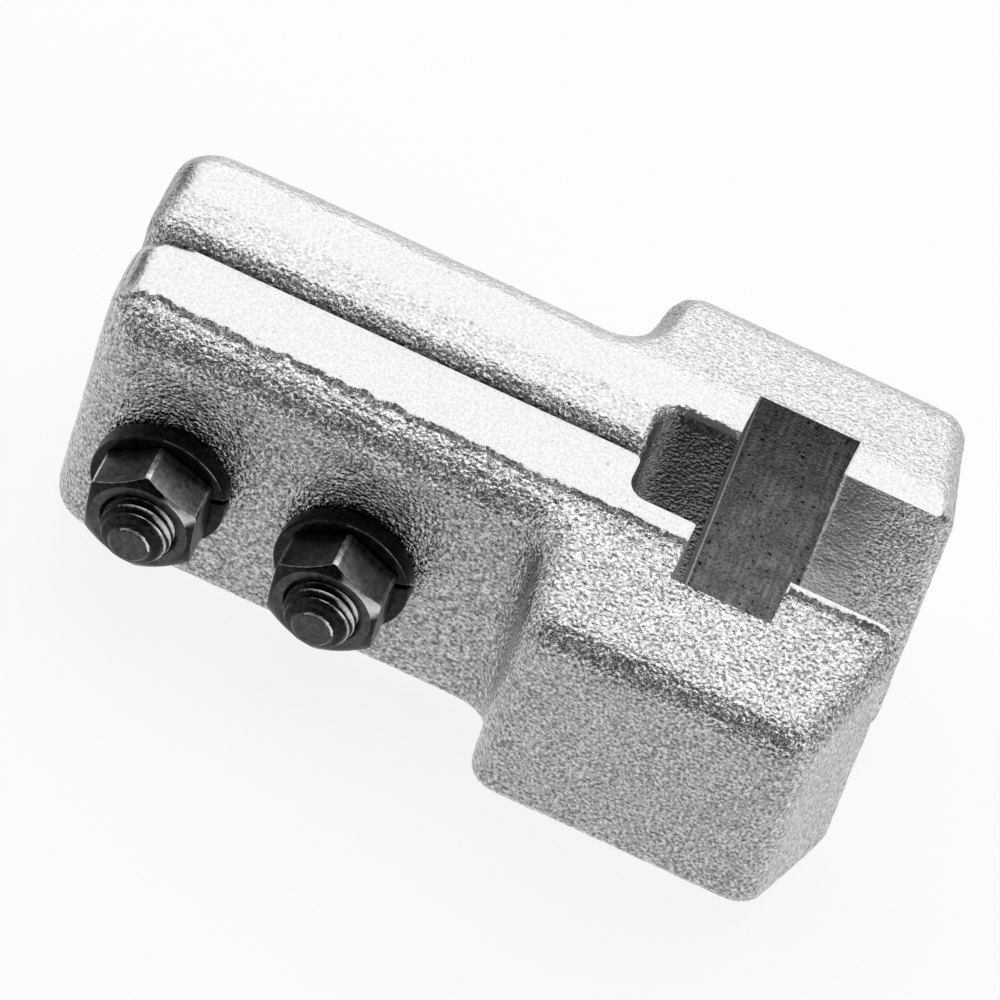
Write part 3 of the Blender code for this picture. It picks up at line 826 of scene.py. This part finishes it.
def makeNut(number, line):
    low, high = nodeBox("nut_" + number)
    tall = high.y - low.y
    nut = hexSolid("nutPiece" + number, 0.0, tall)
    bore = nutSizes["bore"] / 2.0
    sink = nutSizes["sink"]
    drill = turnedSolid("nutBore" + number,
                        [(0.0, tall + sink), (bore + 2.0 * sink, tall + sink), (bore, tall - sink),
                         (bore, sink), (bore + 2.0 * sink, -sink), (0.0, -sink)], fastener["sides"])
    cutWith(nut, drill, "DIFFERENCE")
    rubEdges(nut)
    nut.data.transform(Matrix.Translation((0, 0, -high.y)))
    layOnLine(nut, line, nutSizes["turn"][number] - 90.0)
    shadeFrom, shadeTo = nutSizes["shadedBearings"]
    # Painted shade on the round faces, on the flats facing up and to the left, and over the chamfer
    for polygon in nut.data.polygons:
        facing = abs(polygon.normal.y)
        bearing = bearingOf(polygon.center.x - line.x, polygon.center.z - line.z)
        roundFace = facing > nutSizes["roundFacing"]
        shadedFlat = facing < nutSizes["flatFacing"] and shadeFrom < bearing < shadeTo
        if polygon.material_index == steelSlot["rubbedSteelAndHighlight"] and onChamfer(facing):
            polygon.material_index = steelSlot["shadowBlack"]
        elif polygon.material_index == steelSlot["blackSteel"] and (roundFace or shadedFlat):
            polygon.material_index = steelSlot["shadedBlack"]
    paintWearAndHighlight(nut, line, nutWearAndHighlight(number))
    stand(nut, "nut_body_" + number, "nut_" + number)


def makeWasher(number, line):
    # A square-section ring, rounded along its rims and cut through on a slant
    low, high = nodeBox("spring_washer_" + number)
    size = washerSizes
    inner, outer, thick = size["bore"] / 2.0, (high.x - low.x) / 2.0, high.y - low.y
    gap = size["split"] / outer
    slant = thick * math.tan(math.radians(size["slant"])) / outer
    bm = bmesh.new()
    section = [bm.verts.new((radius, 0.0, height)) for radius, height in
               ((inner, 0.0), (outer, 0.0), (outer, thick), (inner, thick))]
    first = [bm.edges.new((section[side - 1], section[side])) for side in range(4)]
    ring = bmesh.ops.spin(bm, geom=section + first, axis=(0, 0, 1), cent=(0, 0, 0), angle=math.tau - gap,
                          steps=fastener["ringSides"])
    last = [part for part in ring["geom_last"] if isinstance(part, bmesh.types.BMEdge)]
    bmesh.ops.edgeloop_fill(bm, edges=first)
    bmesh.ops.edgeloop_fill(bm, edges=last)
    bmesh.ops.recalc_face_normals(bm, faces=bm.faces)
    rims = [edge for edge in bm.edges if edge.calc_face_angle(0.0) > math.radians(size["rimAngle"])]
    bmesh.ops.bevel(bm, geom=rims, affect="EDGES", offset=size["edge"], offset_type="OFFSET", segments=4,
                    profile=0.5, material=-1, clamp_overlap=True)
    for vertex in bm.verts:
        lean = slant * (vertex.co.z / thick - 0.5)
        vertex.co.rotate(Matrix.Rotation(gap / 2.0 + lean, 3, "Z"))
    # Painted shade over the washer, with a painted highlight along the lit arc of its outer rim
    lowest, highest = size["litRimArc"]
    least, most = size["rimFacing"]
    for face in bm.faces:
        spot = face.calc_center_median()
        outside = spot.to_2d().length > outer - size["edge"] and least < face.normal.z < most
        litRimArc = lowest < bearingOf(spot.x, spot.y) + size["turn"] < highest
        face.material_index = steelSlot["rubbedSteelAndHighlight" if outside and litRimArc else "shadowBlack"]
    washer = meshObject("springWasherPiece" + number, bm)
    dress(washer, steelFinishes)
    washer.data.transform(Matrix.Translation((0, 0, -high.y)))
    layOnLine(washer, line, size["turn"])
    stand(washer, "front_body", "spring_washer_" + number)


for number in ("1", "2"):
    low, high = nodeBox("spring_washer_" + number)
    boltLine = (low + high) / 2.0
    makeBolt(number, boltLine)
    makeNut(number, boltLine)
    makeWasher(number, boltLine)


# Studio: white floor, a large soft box behind and above, and smaller ones low behind and at both sides

studio = {"floor": (0.96, 0.96, 0.96), "floorSize": 6.0, "floorDrop": 0.4 * mm, "floorRough": 0.9,
          "white": 0.86, "world": 0.13}
lamps = {
    "softBox": {"size": (2.6, 2.4), "distance": 1.6, "azimuth": 90.0, "elevation": 60.0, "radiance": 1.42},
    "backBox": {"size": (4.0, 1.2), "distance": 2.2, "azimuth": 90.0, "elevation": 14.0, "radiance": 0.72},
    "rightBox": {"size": (1.0, 0.7), "distance": 1.3, "azimuth": -25.0, "elevation": 22.0, "radiance": 1.62},
    "leftBox": {"size": (1.6, 1.2), "distance": 1.5, "azimuth": 182.0, "elevation": 24.0, "radiance": 1.0},
}
view = {"azimuth": 4.4, "elevation": 48.5, "roll": 21.4, "distance": 6.0, "pixelsPerMm": 6.29, "sensor": 36.0,
        "mark": (-49.6 * mm, -20.0 * mm, 20.5 * mm), "markPixel": (165.0, 480.0), "picture": 1000.0,
        "clip": (0.1, 60.0)}


def makeFloor():
    # The camera and the metal see mostly plain white, mixed with the lit floor that carries the shadow
    bm = bmesh.new()
    bmesh.ops.create_grid(bm, x_segments=4, y_segments=4, size=studio["floorSize"],
                          matrix=Matrix.Translation((0, 0, -studio["floorDrop"])))
    floor = meshObject("floor", bm)
    material, tree, shader = newMaterial("paleFloor", 0.0)
    shader.inputs["Base Color"].default_value = (*studio["floor"], 1.0)
    shader.inputs["Roughness"].default_value = studio["floorRough"]
    shader.inputs["Specular IOR Level"].default_value = 0.0
    path = addNode(tree, "ShaderNodeLightPath").outputs
    seen = calculate(tree, "MAXIMUM", path["Is Camera Ray"], path["Is Glossy Ray"])
    seen = calculate(tree, "MAXIMUM", seen, path["Is Transmission Ray"])
    white = addNode(tree, "ShaderNodeEmission", inputs={"Color": (1.0, 1.0, 1.0, 1.0), "Strength": 1.0})
    mix = addNode(tree, "ShaderNodeMixShader")
    feed(tree, mix.inputs[0], calculate(tree, "MULTIPLY", seen, studio["white"]))
    feed(tree, mix.inputs[1], shader.outputs[0])
    feed(tree, mix.inputs[2], white.outputs[0])
    feed(tree, tree.nodes["Material Output"].inputs["Surface"], mix.outputs[0])
    dress(floor, (material,))


def hangLamp(name):
    box = lamps[name]
    side, high = math.radians(box["azimuth"]), math.radians(box["elevation"])
    towards = Vector((math.cos(side) * math.cos(high), math.sin(side) * math.cos(high), math.sin(high)))
    lamp = bpy.data.lights.new(name, "AREA")
    lamp.shape = "RECTANGLE"
    lamp.size, lamp.size_y = box["size"]
    lamp.energy = box["radiance"] * math.pi * lamp.size * lamp.size_y
    holder = bpy.data.objects.new(name, lamp)
    bpy.context.scene.collection.objects.link(holder)
    holder.location = towards * box["distance"]
    holder.rotation_euler = (-towards).to_track_quat("-Z", "Y").to_euler()


def makeStudio():
    makeFloor()
    for name in lamps:
        hangLamp(name)
    world = bpy.data.worlds.new("studioWorld")
    bpy.context.scene.world = world
    world.use_nodes = True
    shade = world.node_tree.nodes["Background"]
    shade.inputs["Color"].default_value = (1.0, 1.0, 1.0, 1.0)
    shade.inputs["Strength"].default_value = studio["world"]


def makeCamera():
    side, high, roll = (math.radians(view[key]) for key in ("azimuth", "elevation", "roll"))
    right = Vector((math.cos(side), math.sin(side), 0.0))
    up = Vector((-math.sin(high) * math.sin(side), math.sin(high) * math.cos(side), math.cos(high)))
    across = right * math.cos(roll) + up * math.sin(roll)
    upward = up * math.cos(roll) - right * math.sin(roll)
    back = across.cross(upward)
    step = mm / view["pixelsPerMm"]
    middle = view["picture"] / 2.0
    target = Vector(view["mark"]) + across * (middle - view["markPixel"][0]) * step
    target += upward * (view["markPixel"][1] - middle) * step
    data = bpy.data.cameras.new("photoCamera")
    data.sensor_width = view["sensor"]
    data.lens = view["sensor"] * view["distance"] / (view["picture"] * step)
    data.clip_start, data.clip_end = view["clip"]
    camera = bpy.data.objects.new("photoCamera", data)
    bpy.context.scene.collection.objects.link(camera)
    turn = Matrix((across, upward, back)).transposed().to_4x4()
    camera.matrix_world = Matrix.Translation(target + back * view["distance"]) @ turn
    bpy.context.scene.camera = camera


makeStudio()
makeCamera()
bpy.context.scene.view_settings.view_transform = "Standard"
